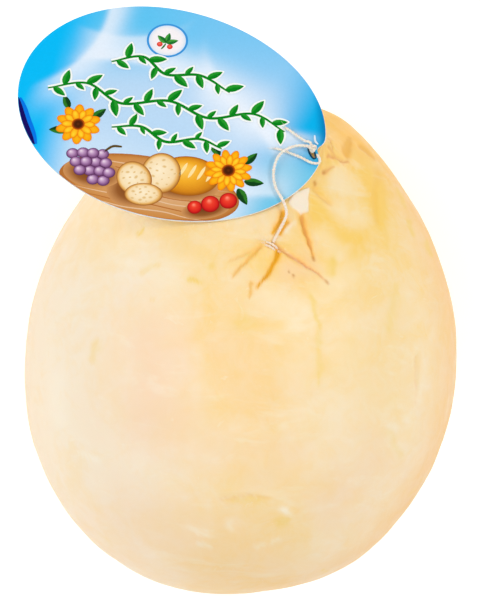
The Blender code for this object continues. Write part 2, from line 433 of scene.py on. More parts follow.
# %% Finish of the twine
def twine_finish():
    """Undyed spun fibre: ivory in fine streaks, matt with a faint bloom of loose hairs."""
    finish = Finish("twine_fibre", 0.78, Sheen_Weight=0.35, Sheen_Roughness=0.5, Subsurface_Weight=0.12)
    finish.shader.inputs["Subsurface Scale"].default_value = 0.4 * MM
    streaks = finish.noise(2600.0, detail=4.0)
    patches = finish.noise(420.0, detail=2.0)
    base = finish.mix(finish.span(streaks, 0.35, 0.65), linear(232, 219, 200), linear(250, 241, 228))
    base = finish.mix(finish.span(patches, 0.55, 0.75, 0.0, 0.45), base, linear(249, 219, 197))
    moist = finish.span(finish.position("Y"), 34.0 * MM, 46.0 * MM, 0.7, 0.0)
    base = finish.mix(moist, base, linear(250, 222, 190))
    finish.colour(base)
    finish.bump(streaks, 0.05 * MM, 0.6)
    return finish.material


twine_material = twine_finish()

# %% [markdown]
# The loop carries the card, so it is the one free cord here. Its two tails and its knot belong with it.

# %% The loop and its two tails
def twine_piece(name, route, share, taper, hair_count, frayed_count=0, frayed_reach=0.0):
    """Twine along a route, at a share of its full thickness, with loose hairs and a frayed end."""
    shapes = [yarn(route, TWINE_DIAMETER * share, taper_ends=taper)]
    shapes += hairs(route, TWINE_DIAMETER, hair_count)
    shapes += frayed_end(route, TWINE_DIAMETER, frayed_count, frayed_reach)
    return made_of(name, shapes, twine_material)


loop = twine_piece("loop_yarn", LOOP_ROUTE, 1.0, 0.0, 46)
upper_tail = twine_piece("upper_tail_yarn", UPPER_TAIL_ROUTE, 0.92, 0.4, 10, 9, 1.3 * MM)
lower_tail = twine_piece("lower_tail_yarn", LOWER_TAIL_ROUTE, 0.92, 0.4, 16, 12, 1.6 * MM)
for piece, node in ((loop, "twine_loop"), (upper_tail, "twine_tail_upper"), (lower_tail, "twine_tail_lower")):
    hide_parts(node)
    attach(piece, "root")
print("twine faces:", [len(piece.data.polygons) for piece in (loop, upper_tail, lower_tail)])

# %% [markdown]
# The knot is an overhand knot pulled tight. Its centreline is the trefoil, a closed curve that every overhand
# knot follows, drawn in a little from the box of the solid that it stands for.

# %% The knot at the card's end
KNOT_YARN = 0.85 * MM
KNOT_DRAWN_IN = 0.88
KNOT_POINTS = 60
knot_low, knot_high = (np.array(corner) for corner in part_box("twine_knot"))
knot_middle = (knot_low + knot_high) / 2
knot_half = (knot_high - knot_low) / 2
turns = np.linspace(0.0, 2 * math.pi, KNOT_POINTS)
trefoil = np.stack([
    (np.sin(turns) + 2 * np.sin(2 * turns)) / 3.0,
    (np.cos(turns) - 2 * np.cos(2 * turns)) / 3.0,
    -np.sin(3 * turns),
], axis=1)
knot_route = knot_middle + trefoil * KNOT_DRAWN_IN * (knot_half - KNOT_YARN / 2)
knot_shapes = [yarn(knot_route, KNOT_YARN, spacing=TIGHT_SPACING)] + hairs(knot_route, KNOT_YARN, 14)
knot = made_of("knot_yarn", knot_shapes, twine_material)
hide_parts("twine_knot")
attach(knot, "root")

# %% [markdown]
# ## The cheese in its casing
# The casing is a thin bladder, so it takes the cheese's form: an egg, soft and a little lumpy, flat where it
# lies. It starts as a sphere from Blender's own operator, with its pole turned to the tie and its rings drawn
# together there, because that is where the fine creases are. The same formula as the solid's makes the egg.

# %% Form of the egg
HALF_WIDTH = 59.9 * MM
HALF_LENGTH = 72.3 * MM
CROWN = 58.0 * MM
KEEL = 52.0 * MM
TAPER = (-0.1205, -0.0579, -0.0677)
SIDE_BEND = -1.2 * MM
MIDDLE_AHEAD = 7.5 * MM
SETTLE_SOFTNESS = 2.5 * MM
LUMP_HEIGHT = 0.7 * MM
LUMP_SCALE = 2.1
RELIEF_STARTS = 6.0 * MM
TIE_DIRECTION = Vector((0.20, 0.58, 0.79))
SKIN_SECTORS = 360
SKIN_RINGS = 262
SKIN_CROWDING = 0.76


def egg(directions):
    """Points of the smooth egg for directions of the unit sphere."""
    t = directions[:, 1]
    share = 1.0 + t * (TAPER[0] + t * (TAPER[1] + t * TAPER[2]))
    rise = np.where(directions[:, 2] > 0, CROWN, KEEL)
    return np.stack([
        HALF_WIDTH * share * directions[:, 0] + SIDE_BEND * t**2,
        MIDDLE_AHEAD + HALF_LENGTH * t,
        WIDEST_LEVEL + rise * share * directions[:, 2],
    ], axis=1)


def settled(heights):
    """Heights above the table once the soft underside has flattened on it."""
    flat = np.clip(heights + SETTLE_SOFTNESS, 0.0, None) ** 2 / (4 * SETTLE_SOFTNESS)
    return np.where(heights > SETTLE_SOFTNESS, heights, flat)


# %% A sphere with its pole at the tie
skin = added(bpy.ops.mesh.primitive_uv_sphere_add, segments=SKIN_SECTORS, ring_count=SKIN_RINGS, radius=1.0)
skin.name = "casing_skin"
sphere = places(skin)
sweep = np.arccos(np.clip(sphere[:, 2], -1.0, 1.0)) / math.pi
angle = math.pi * (sweep * (1 - SKIN_CROWDING) + SKIN_CROWDING * sweep**2)
flat = np.linalg.norm(sphere[:, :2], axis=1)
wide = np.where(flat > 1e-6, np.sin(angle) / np.maximum(flat, 1e-6), 0.0)
sphere = np.stack([sphere[:, 0] * wide, sphere[:, 1] * wide, np.cos(angle)], axis=1)
turn = np.array(Vector((0, 0, 1)).rotation_difference(TIE_DIRECTION).to_matrix())
directions = sphere @ turn.T
place(skin, egg(directions))
outward = np.empty(len(directions) * 3)
skin.data.vertices.foreach_get("normal", outward)
outward = outward.reshape(-1, 3)
print("skin points:", len(directions))

# %% [markdown]
# ## Relief of the casing
# Where the casing was drawn together it stands up in a low neck and a ridge, and creases run out from the
# stitch and from the neck. Each crease is a narrow valley with a soft lip on either side, deepest at the tie
# and fading out. The places are in millimetres, seen from above.

# %% Neck, ridge and creases
NECK = (14.0, 58.5)
NECK_HEIGHT = 4.4
NECK_RADIUS = 7.0
STITCH = (3.7, 33.1)
RIDGE_HEIGHT = 2.2
RIDGE_RADIUS = 4.2

# Height of a crease's lips as a share of its depth, then how far off and how wide they are, as shares of
# its half-width
LIP_SHARE = 0.35
LIP_AWAY = 2.2
LIP_WIDTH = 1.2

# From, to, sideways bow, depth and half-width in mm, then how golden and how rosy the crease is
CREASES = (
    ((7, 31.2), (1.9, 20.7), 0.3, 0.45, 0.5, 1, 0),
    ((2, 31.9), (-5.2, 22.6), -0.4, 0.4, 0.5, 0.34, 0.1),
    ((5.4, 32.9), (20.8, 24.6), 0.7, 0.5, 0.6, 0, 0.75),
    ((12.2, 41.2), (16.8, 30.4), 0.2, 0.6, 0.65, 0.36, 0.5),
    ((7, 41.2), (4.5, 35.2), 0.2, 0.25, 0.6, 0.8, 0),
    ((8.4, 39.4), (6.6, 35.4), -0.2, 0.25, 0.5, 0.75, 0),
    ((1, 31.5), (-6.8, 27.1), -0.3, 0.3, 0.5, 0.12, 0.06),
    ((0.7, 22.2), (0.2, 18), 0.2, 0.25, 0.5, 0.4, 0),
    ((16.2, 55.9), (23.8, 57.2), 0.3, 0.4, 0.5, 0, 0.6),
    ((15.8, 52.8), (19.4, 55), 0.2, 0.3, 0.5, 0.1, 0.4),
    ((22, 59.4), (23.9, 65.8), 0.5, 0.3, 1.3, 0.55, 0),
    ((14.8, 48.9), (20.5, 45.5), 0, 0.35, 0.8, 0.12, 0.05),
    ((26.6, 63.2), (31.4, 59.6), 0.3, 0.35, 0.7, 0.38, 0.1),
    ((15.6, 60), (17.6, 57), 0.2, 0.3, 0.45, 0, 0.45),
    ((16, 57.4), (22, 56), 0.2, 0.3, 0.4, 0, 0.4),
    ((31.6, 57), (33.2, 40.6), -0.8, 0.2, 1, 0.1, 0),
    ((47.6, 7.6), (49.3, -6.6), -0.3, 0.2, 0.5, 0, 0.1),
    ((-1.2, -36.2), (12.6, -34.4), 0.6, 0.15, 0.6, 0, 0.12),
)


def along(plan, start, end, bow=0.0):
    """Share of the way from start to end, and the distance from that stretch, bowed sideways."""
    run = np.subtract(end, start)
    gap = plan - start
    share = np.clip(gap @ run / (run @ run), 0.0, 1.0)
    sideways = (gap[:, 1] * run[0] - gap[:, 0] * run[1]) / math.hypot(*run)
    beyond = np.linalg.norm(gap - share[:, None] * run, axis=1)
    bowed = np.abs(sideways - bow * 4 * share * (1 - share))
    return share, np.where((share > 0) & (share < 1), bowed, beyond)


def gathers(plan):
    """The neck and the ridge, as on the solid, in mm."""
    height = NECK_HEIGHT * bell(np.linalg.norm(plan - NECK, axis=1), NECK_RADIUS)
    share, away = along(plan, NECK, STITCH)
    return height + RIDGE_HEIGHT * (1 - 0.5 * share) * bell(away, RIDGE_RADIUS)


def wander(plan, size):
    """Small sideways wander of about one unit, with swirls of that size in mm."""
    flat = np.column_stack([plan / size, np.zeros(len(plan))])
    return np.column_stack([lump_noise(flat + 5.0, 1.0), lump_noise(flat - 9.0, 1.0)])


def creases(plan):
    """Height of the creases, then their golden and rosy lines and the warm glow beside them."""
    height, golden, rosy, glow = np.zeros((4, len(plan)))
    uneven = wander(plan, 2.0)[:, 0]
    for start, end, bow, depth, width, gold, rose in CREASES:
        share, away = along(plan, start, end, bow)
        fade = 1 - soft_step(share, 0.6, 1.0)
        narrow = width * (1 - 0.55 * share) * (1 + 0.4 * uneven)
        valley = bell(away, narrow)
        lips = bell(away - LIP_AWAY * narrow, LIP_WIDTH * narrow)
        height -= depth * fade * (valley - LIP_SHARE * lips)
        ends = 1 - soft_step(share, 0.85, 1.0)
        golden = np.maximum(golden, gold * np.clip(1.7 * valley * (1 + 0.4 * uneven), 0.0, 1.0) * ends)
        rosy = np.maximum(rosy, rose * bell(away, 0.7 * narrow) * ends)
        glow = np.maximum(glow, (gold + 0.6 * rose) * bell(away, 2.6 * narrow) * ends)
    return height, golden, rosy, glow


# %% [markdown]
# Gathered casing is also pleated: fine folds run out like spokes from the neck and the stitch and soon die
# away. A sine of the angle round the tie makes them, with noise to keep them uneven. The rest of the skin has
# slow lumps from kneading, and shallow dents a few millimetres across.

# %% Pleats, lumps and the shape put together
# Corners of the flap of dry casing that stands up at the card's edge, in mm
FLAP = ((7.7, 44.2), (8.8, 47.4), (13.5, 49.3), (14.0, 43.4), (11.9, 41.7), (9.5, 42.9))
FLAP_HEIGHT = 0.45
PLEAT_HEIGHT = 0.22
NECK_PLEATS = (13, 9.0)
STITCH_PLEATS = (11, 6.0)
STITCH_PLEAT_SHARE = 0.6
# Height in mm of each size of dent, its lumps for each unit of direction, and a shift of its pattern
DENTS = ((0.16, 9.0, 7.3), (0.05, 24.0, -3.1))
# Where the casing is drawn in beside the tie, and by how much, in mm
TUCK = (12.0, 78.0)
TUCK_DEPTH = 2.4
TUCK_RADIUS = 9.0

plan = egg(directions)[:, :2] / MM
crowned = directions[:, 2] > 0
lumps = LUMP_HEIGHT * lump_noise(directions, LUMP_SCALE)
dents = sum(height * lump_noise(directions + shift, scale) for height, scale, shift in DENTS)
shown = soft_step(egg(directions)[:, 2] - WIDEST_LEVEL, RELIEF_STARTS, 2 * RELIEF_STARTS) * crowned


def pleats(plan, middle, spokes, reach):
    """Fine folds that run out from the middle like spokes, in mm."""
    gap = plan - middle
    away = np.linalg.norm(gap, axis=1)
    round_it = np.arctan2(gap[:, 1], gap[:, 0])
    uneven = 1.6 * np.sin(2 * round_it + 0.7) + 0.9 * np.sin(5 * round_it + away * 0.25)
    folds = np.sin(spokes * round_it + uneven + 0.12 * away)
    return PLEAT_HEIGHT * folds * bell(away, reach) * soft_step(away, 0.5, 2.5)


def inside(plan, corners):
    """Distance in mm that a place lies inside a convex outline with clockwise corners, below 0 outside."""
    depth = np.full(len(plan), np.inf)
    for start, end in zip(corners, corners[1:] + corners[:1]):
        run = np.subtract(end, start) / math.dist(start, end)
        depth = np.minimum(depth, (plan - start) @ np.array([run[1], -run[0]]))
    return depth


valleys, golden, rosy, glow = creases(plan + 0.55 * wander(plan, 4.0) + 0.2 * wander(plan, 1.3))
flap = soft_step(inside(plan + 0.5 * wander(plan, 2.0), FLAP), -0.1, 0.6)
relief = gathers(plan) + valleys + pleats(plan, NECK, *NECK_PLEATS)
relief = relief + STITCH_PLEAT_SHARE * pleats(plan, STITCH, *STITCH_PLEATS) + FLAP_HEIGHT * flap
tuck = TUCK_DEPTH * bell(np.linalg.norm(plan - TUCK, axis=1), TUCK_RADIUS)
rows = egg(directions) + outward * (lumps + (dents + shown * relief - tuck) * MM)[:, None]
rows[:, 2] = settled(rows[:, 2])
place(skin, rows)
pick(skin)
bpy.ops.object.shade_smooth()
print("skin box, mm:", np.round(rows.min(axis=0) / MM, 1), np.round(rows.max(axis=0) / MM, 1))

# %% [markdown]
# ## Colour of the casing
# The casing is translucent, so its colour is the cheese's below: cream where it is thick or dry, a warmer
# yellow where it is thin and moist, and golden where whey has pooled in a crease. Painted shade yellows the
# flanks that turn away, more on the right, and a few painted highlights lie on ridges and along a crease.
# These slow changes are kept as attributes on the mesh, one number a point, and the material blends its
# colours by them.

# %% Where the casing is warm, golden, rosy, olive or pale, with painted rim shade and painted highlights
# From, to, half-width in mm and strength: the yellow of moist cheese under thin casing
WARM_FIELDS = (
    ((-13, 19), (3, 8), 15, 0.5),
    ((2, -14), (6, -48), 20, 0.4),
    ((24, 54), (28, 44), 22, 0.36),
    ((8, 46), (-22, 42), 13, 0.42),
    ((34, 34), (40, 10), 20, 0.25),
    ((36, 4), (30, -30), 20, 0.12),
    ((14, 64), (30, 66), 9, 0.65),
    ((-43, 26), (-38, 34), 11, 0.22),
    ((4, 27), (20, 30), 9, 0.36),
    ((16, 62), (34, 60), 7, 0.3),
    ((-3, 10), (2, -6), 9, 0.12),
    ((-6, -63), (14, -61), 9, 0.25),
    ((34.8, 58), (36.5, 42), 3.6, 0.14),
    ((31.8, 57), (33.8, 41), 2.4, 0.3),
    ((9, 25), (14, 27), 4.5, 0.25),
    ((18, 41), (24, 38), 5, 0.12),
    ((15.2, 47.5), (17.5, 42), 3, 0.28),
    ((-24, -46), (8, -54), 14, 0.1),
    ((-24, -12), (-6, -24), 12, 0.09),
)
# The same for the faint pink of drier casing
BLUSH_FIELDS = (
    ((-24, 2), (-22, -14), 13, 0.7),
    ((-3, 4), (3, -8), 12, 0.35),
    ((-8, -22), (14, -24), 9, 0.3),
    ((10, 27), (15, 29), 5, 0.6),
    ((12, 60), (26, 68), 6, 0.4),
    ((28, -34), (38, -24), 9, 0.4),
    ((-26, -46), (8, -54), 14, 0.38),
)
# From, to, half-width in mm and strength of each small olive mark
OLIVE_MARKS = (
    ((-30.9, 33.1), (-30.2, 33.6), 0.5, 0.8),
    ((-29.1, 22.4), (-25.2, 25), 0.7, 0.36),
    ((-16.6, 22), (-13.6, 21.4), 0.9, 0.75),
    ((-11.4, 25.2), (-10.2, 25.8), 1, 0.45),
    ((-39.3, 2.4), (-40.1, -2.6), 1, 0.38),
    ((-25.8, 15.4), (-25.2, 15.8), 0.6, 0.3),
    ((38.2, 52.3), (39.8, 48), 0.7, 0.35),
    ((41.8, 43.8), (43.4, 40.6), 0.8, 0.45),
    ((47.5, 38.5), (48.5, 35.5), 0.9, 0.45),
    ((21.6, 30.4), (21.7, 27.2), 1, 0.5),
    ((16.8, 21), (19.8, 12.5), 0.8, 0.5),
    ((19.8, 12.5), (21.6, -2), 0.8, 0.35),
    ((39.6, 25), (39, 14), 1.6, 0.35),
    ((15, -41.5), (16.6, -40.2), 1.2, 0.4),
    ((2, -36.4), (9, -35), 1, 0.3),
    ((42, -14), (46, -20), 1.2, 0.3),
    ((-1.3, 11.5), (0.4, 11.8), 2.6, 0.3),
)
# The same where the casing thins beside the neck and the cheese glows through it
GLOW_MARKS = (
    ((17.5, 70), (23.5, 65), 5.5, 0.8),
    ((15, 63.5), (20.5, 60.5), 3.4, 0.45),
)
# The same for brown specks round the stitch and the card's edge
DARK_SPOTS = (
    ((16.4, 31), (16.7, 30.4), 0.42, 0.65),
    ((20.4, 25), (21, 24.5), 0.36, 0.6),
    ((14.3, 50.3), (14.6, 50), 0.4, 0.6),
    ((16.2, 52.7), (16.5, 52.9), 0.45, 0.5),
    ((10.3, 26.7), (10.4, 26.6), 0.26, 0.8),
    ((11.6, 25.7), (11.7, 25.6), 0.34, 0.8),
)
# The same for dry pale flecks and paler patches between the creases, and for painted highlights on the bulge
# beside the neck, along the rosy crease and on a ridge below the flap
PALE_AND_HIGHLIGHT_MARKS = (
    ((-48.9, -8.7), (-47.6, -19.4), 2.4, 0.28),
    ((-41, -28.6), (-37, -29.6), 0.9, 0.5),
    ((15, -37.4), (16.2, -37.8), 1, 0.75),
    ((-9.4, -45.6), (-4.6, -46.4), 0.7, 0.34),
    ((-6.6, -49.2), (-3, -49.8), 0.6, 0.34),
    ((1.4, -42), (2.2, -44.4), 0.8, 0.34),
    ((9.4, -48.6), (11.6, -47.2), 0.6, 0.38),
    ((13.2, -47.2), (15.4, -45.4), 0.6, 0.38),
    ((51.5, 15), (49.7, -4.4), 0.8, 0.15),
    # painted highlight on the bulge beside the neck
    ((20.4, 52.4), (23.2, 50.6), 3.4, 0.38),
    ((23.2, 45), (27.2, 42.6), 3.4, 0.35),
    ((18.4, 36.8), (23.6, 32), 3.4, 0.36),
    # painted highlight along the upper edge of the rosy crease from the stitch
    ((8.6, 32), (19.4, 25.8), 0.3, 0.35),
    # painted highlight on a ridge below the flap
    ((8.6, 37), (9.6, 39.2), 0.9, 0.6),
    ((6, 20), (13, 14), 5, 0.35),
    ((22, 25), (26, 28), 5, 0.35),
    ((-34, 28), (-22, 24), 6, 0.3),
    ((28, 18), (27, -6), 6, 0.14),
)
# How strongly painted shade yellows the casing where it turns away from above, and the share of that on the
# left side
RIM_SHADE_STRENGTH = 0.75
RIM_SHADE_LEFT_SHARE = 0.22


def strokes(plan, marks, together=np.maximum):
    """Several soft strokes put together: the strongest at each point, or their sum."""
    strength = np.zeros(len(plan))
    for start, end, width, most in marks:
        _, away = along(plan, start, end)
        strength = together(strength, most * bell(away, width))
    return strength


frayed = plan + 1.0 * wander(plan, 2.6) + 0.2 * wander(plan, 0.9)
warm = strokes(plan + 5.0 * wander(plan, 16.0), WARM_FIELDS, np.add)
# Yellower towards the right: partly the cheese's own tone, partly painted shade on the side away from the big
# soft light
warm += 0.16 * soft_step(plan[:, 0], 0.0, 34.0)
blush = strokes(plan + 4.0 * wander(plan, 9.0), BLUSH_FIELDS)
olive = strokes(frayed, OLIVE_MARKS)
dark = strokes(plan, DARK_SPOTS)
pale_and_highlight = strokes(frayed, PALE_AND_HIGHLIGHT_MARKS)
glow = np.maximum(glow, strokes(frayed, GLOW_MARKS))
# Painted shade: the flanks that turn away from above are coloured deeper yellow, more on the right
turned_away = soft_step(1.0 - outward[:, 2], 0.35, 0.85) * (1.0 - 0.6 * soft_step(-outward[:, 2], 0.0, 0.7))
right_side = soft_step(plan[:, 0] + 0.15 * plan[:, 1], -30.0, 60.0)
rim_shade = RIM_SHADE_STRENGTH * turned_away * (RIM_SHADE_LEFT_SHARE + (1 - RIM_SHADE_LEFT_SHARE) * right_side)
top_side = soft_step(outward[:, 2], -0.15, 0.3)
flank = 1.0 - soft_step(outward[:, 2], 0.3, 0.55)
uneven = np.column_stack([lump_noise(rows / (3.0 * MM) + shift, 1.0) for shift in (5.0, -9.0, 17.0)])
# A fresh seed: strewn draws from it, then the print and the stitch
rng = np.random.default_rng(21)


def strewn(count, longest, width, most):
    """Short soft strokes strewn over the flanks and the underside."""
    ragged = rows / MM + 1.5 * uneven
    strength = np.zeros(len(ragged))
    for heading in rng.normal(size=(count, 3)):
        gap = ragged - rows[np.argmax(outward @ heading)] / MM
        half = np.cross(heading, rng.normal(size=3))
        half *= rng.uniform(0.15, 0.5) * longest / np.linalg.norm(half)
        share = np.clip(gap @ half / (half @ half), -1.0, 1.0)
        away = np.linalg.norm(gap - share[:, None] * half, axis=1)
        strength = np.maximum(strength, rng.uniform(0.4, 1.0) * most * bell(away, width))
    return strength * flank


def keep(obj, name, values):
    """Stores one number a point on the mesh under that name."""
    layer = obj.data.attributes.new(name, "FLOAT", "POINT")
    layer.data.foreach_set("value", values.astype(np.float32))


for name, values in (("golden", golden), ("glow", glow), ("dark", dark), ("flap", flap), ("blush", blush)):
    keep(skin, name, values * top_side)
# Number of strewn marks, their longest length and half-width in mm, and the most strength
for name, values, marks in (
    ("olive", olive, (50, 5.0, 0.9, 0.4)),
    ("pale_and_highlight", pale_and_highlight, (70, 9.0, 1.9, 0.3)),
    ("rosy", rosy, (20, 9.0, 0.7, 0.2)),
):
    keep(skin, name, np.maximum(values * top_side, strewn(*marks)))
warm_below = 0.36 + 0.25 * lump_noise(directions + 2.0, 2.5)
keep(skin, "warm", warm * top_side + warm_below * (1.0 - top_side))
keep(skin, "rim_shade", rim_shade)
print("warm from", round(float(warm.min()), 2), "to", round(float(warm.max()), 2))


# %% Finish of the casing
def casing_finish():
    """Natural casing over pale cheese: cream to yellow, clouded, waxy and a little translucent."""
    finish = Finish("natural_casing", 0.5, Subsurface_Weight=0.15, Specular_IOR_Level=0.3)
    finish.shader.inputs["Subsurface Radius"].default_value = (1.0, 0.6, 0.3)
    finish.shader.inputs["Subsurface Scale"].default_value = 2.5 * MM
    clouds = finish.noise(48.0, detail=5.0, roughness=0.62, swirl=0.8)
    curd = finish.noise(150.0, detail=5.0, roughness=0.62, swirl=1.2)
    drift = finish.noise(95.0, detail=4.0, roughness=0.6, stretch=(0.55, 1.6, 1.0), swirl=0.5)
    grain = finish.noise(1100.0)
    warm_share = finish.sum(finish.attribute("warm"), finish.span(clouds, 0.3, 0.7, -0.13, 0.16))
    warm_share = finish.sum(warm_share, finish.span(curd, 0.3, 0.7, -0.08, 0.08))
    base = finish.mix(warm_share, linear(250, 233, 207), linear(250, 207, 100))
    for share, colour in (
        (finish.attribute("blush"), (249, 214, 180)),
        (finish.span(drift, 0.52, 0.72, 0.0, 0.32), (252, 239, 216)),
        (finish.span(curd, 0.64, 0.72, 0.0, 0.25), (254, 243, 226)),
        # painted shade on the flanks that turn away
        (finish.attribute("rim_shade"), (244, 189, 110)),
        (finish.attribute("glow"), (253, 192, 66)),
        # pale flecks, and the painted highlights
        (finish.attribute("pale_and_highlight"), (253, 243, 224)),
        (finish.attribute("olive"), (242, 206, 84)),
        (finish.attribute("golden"), (232, 164, 0)),
        (finish.attribute("rosy"), (226, 150, 88)),
        (finish.attribute("dark"), (196, 118, 30)),
        (finish.span(finish.attribute("flap"), 0.0, 1.0, 0.0, 0.88), (249, 236, 217)),
    ):
        base = finish.mix(share, base, linear(*colour))
    finish.colour(base)
    finish.rough(finish.span(curd, 0.3, 0.7, 0.42, 0.56))
    fine = finish.bump(grain, 0.03 * MM, 0.5)
    finish.bump(curd, 0.2 * MM, 0.45, after=fine)
    return finish.material


skin.data.materials.append(casing_finish())
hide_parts("cheese")
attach(skin, "root")

# %% [markdown]
# ## The card
# The card is a thin oval sheet with a slight bend. Two numbers name a place on it: s millimetres along it and
# q millimetres across it, from its middle. The sheet and all its print go through the same function, so the
# print follows every bend. One lobe beside the slit has a small crease where the twine pulled at it.

# %% Places on the card
CARD_MIDDLE = np.array([-25.8, 66.5, 80.6]) * MM
CARD_HALF_LENGTH = 43.4
CARD_HALF_WIDTH = 32.4
CARD_TAPER = 0.032
CARD_THICKNESS = 0.5
CARD_TURN = math.radians(-12.9)
CARD_ROLL = math.radians(-11.0)
CARD_SLOPE = math.radians(26.0)
CARD_BEND_RADIUS = 500.0
LOBE_CREASE = ((39.0, 7.4), (40.8, 4.9))
LOBE_CREASE_HEIGHT = 0.3
LOBE_CREASE_WIDTH = 0.7
LOBE_LIFT = 0.9
card_turn = np.array(Matrix.Rotation(CARD_TURN, 3, "Z") @ Matrix.Rotation(CARD_ROLL, 3, "Y"))


def curl(s, q):
    """How far the card's surface stands off its even bend at a place, in mm."""
    spot = np.stack([s, q], axis=1)
    _, away = along(spot, *LOBE_CREASE)
    lobe = soft_step(s + 0.4 * (q - 8.0), 38.0, 45.0) * soft_step(q, 4.0, 8.0)
    waves = 0.12 * np.sin(s / 11.0 + 0.6) * np.sin(q / 8.0 - 0.4)
    return LOBE_CREASE_HEIGHT * bell(away, LOBE_CREASE_WIDTH) + LOBE_LIFT * lobe + np.maximum(waves, 0.0)


def on_card(s, q, lift):
    """Points of the card at s along and q across it, raised by lift off its middle layer, all in mm."""
    slope = CARD_SLOPE + q / CARD_BEND_RADIUS
    raised = lift + curl(s, q)
    out = (np.sin(slope) - math.sin(CARD_SLOPE)) * CARD_BEND_RADIUS + raised * np.sin(slope)
    down = (math.cos(CARD_SLOPE) - np.cos(slope)) * CARD_BEND_RADIUS
    return CARD_MIDDLE + np.stack([s, out, raised * np.cos(slope) - down], axis=1) @ card_turn.T * MM


def turned(x, y, degrees, spot):
    """x and y turned by that angle and moved to the spot."""
    cos, sin = math.cos(math.radians(degrees)), math.sin(math.radians(degrees))
    return spot[0] + x * cos - y * sin, spot[1] + x * sin + y * cos


def off_card(rows):
    """s and q of points on the card, the way back from on_card for a thin sheet."""
    near = (rows - CARD_MIDDLE) @ card_turn / MM
    slope = np.arcsin(np.clip(near[:, 1] / CARD_BEND_RADIUS + math.sin(CARD_SLOPE), -1.0, 1.0))
    return near[:, 0], (slope - CARD_SLOPE) * CARD_BEND_RADIUS


# %% [markdown]
# A grid bent onto the oval makes the sheet, and a Solidify modifier gives it thickness. The twine pulled the
# end of the card in a little between two lobes, and a cylinder reshaped into a slim slit cuts the hole that
# the twine passes through.

# %% The sheet, its pinched end and its slit
PINCH_DEPTH = 1.8
PINCH_ACROSS = 3.4
PINCH_HALF_WIDTH = 2.0
SLIT = (40.4, 1.7)
SLIT_HALF_LENGTH = 1.9
SLIT_HALF_WIDTH = 0.55
SLIT_TURN = -46
CUTTER_REACH = 3.0

card = added(bpy.ops.mesh.primitive_grid_add, x_subdivisions=150, y_subdivisions=112, size=2.0)
card.name = "card_print"
x, y, _ = places(card).T
s = CARD_HALF_LENGTH * x * np.sqrt(1 - y**2 / 2)
q = CARD_HALF_WIDTH * y * np.sqrt(1 - x**2 / 2) * (1 - CARD_TAPER * s / CARD_HALF_LENGTH)
pinch = bell(q - PINCH_ACROSS, PINCH_HALF_WIDTH) * soft_step(s, 36.0, CARD_HALF_LENGTH)
place(card, on_card(s - PINCH_DEPTH * pinch, q, 0.0))
sheet = card.modifiers.new("sheet", "SOLIDIFY")
sheet.thickness = CARD_THICKNESS * MM
sheet.offset = 0.0
settle_modifier(card, sheet)

cutter = added(bpy.ops.mesh.primitive_cylinder_add, vertices=32, radius=1.0, depth=2.0)
x, y, z = places(cutter).T
s, q = turned(SLIT_HALF_LENGTH * x, SLIT_HALF_WIDTH * y, SLIT_TURN, SLIT)
place(cutter, on_card(s, q, CUTTER_REACH * z))
cut = card.modifiers.new("slit", "BOOLEAN")
cut.operation = "DIFFERENCE"
cut.object = cutter
settle_modifier(card, cut)
bpy.data.objects.remove(cutter)
print("card faces:", len(card.data.polygons))

# %% [markdown]
# ## Print of the card
# The ground is a blue sky print with soft white waves, from cyan at the ends to pale in the middle. It is a
# colour kept at each point of the sheet, worked out from s and q.

# %% Ground of the print
# Middle and radius of the circle that a white wave follows, its half-width and strength, and from where to
# where along the card it runs, in mm
WAVES = (
    ((-6, -44), 57, 2.2, 0.8, (-34, 36)),
    ((31, 42), 37, 2.6, 0.8, (-2, 43)),
    ((-58, 18), 31, 1.9, 0.75, (-40, -16)),
    ((-30, 46), 30, 1.6, 0.45, (-36, -4)),
    ((44, -44), 32, 2.4, 0.6, (18, 44)),
)


def blend(first, second, share):
    return first + (np.asarray(second) - first) * share[:, None]


def ground(s, q):
    """Linear colour of the ground print at each place, with painted shade on the curled lobe."""
    ink = np.tile(linear(186, 217, 244), (len(s), 1))
    ink = blend(ink, linear(66, 192, 241), 0.9 * soft_step(q - 0.35 * s, 6.0, 30.0))
    upper = soft_step(q + 0.2 * s, 16.0, 28.0)
    ink = blend(ink, linear(132, 200, 243), 0.7 * upper * soft_step(s, -30.0, 12.0))
    ink = blend(ink, linear(210, 229, 246), 0.7 * soft_step(-q, 6.0, 22.0))
    ink = blend(ink, linear(0, 186, 246), soft_step(-s - 0.2 * q, 22.0, 36.0))
    ink = blend(ink, linear(0, 176, 234), soft_step(s - 0.1 * q, 20.0, 36.0) * soft_step(q, -12.0, -2.0))
    ink = blend(ink, linear(112, 198, 232), soft_step(s, 25.0, 36.0) * soft_step(-q, -3.0, 6.0))
    for (mid_s, mid_q), radius, width, strength, (low, high) in WAVES:
        away = np.hypot(s - mid_s, q - mid_q) - radius
        crest = bell(away, np.where(away > 0, 2.8 * width, 0.6 * width))
        fade = soft_step(s, low, low + 10.0) * soft_step(-s, -high, 10.0 - high)
        ink = blend(ink, linear(236, 243, 252), strength * crest * fade)
    # Painted shade: the curled lobe at the card's end is darkened, as it turns from the light
    lobe = soft_step(s + 0.45 * q, 42.0, 46.4) * soft_step(q, 2.0, 5.0)
    return blend(ink, linear(0, 110, 172), 0.9 * lobe)


def dye(obj, colours):
    """Stores a linear colour a point under the name ink."""
    layer = obj.data.color_attributes.new(name="ink", type="FLOAT_COLOR", domain="POINT")
    layer.data.foreach_set("color", np.hstack([colours, np.ones((len(colours), 1))]).ravel())


dye(card, ground(*off_card(places(card))))

# %% [markdown]
# Every motif starts as the same flat disc: a circle whose face is inset a few times, so that it has rings. A
# motif gives each of the disc's points a place on the card and a colour. Motifs lie in thin layers a
# hundredth of a millimetre apart, as overprinted inks do, so that none cuts through another.

# %% Layers of ink
LAYER = 0.012
PRINT_REACH = 0.997


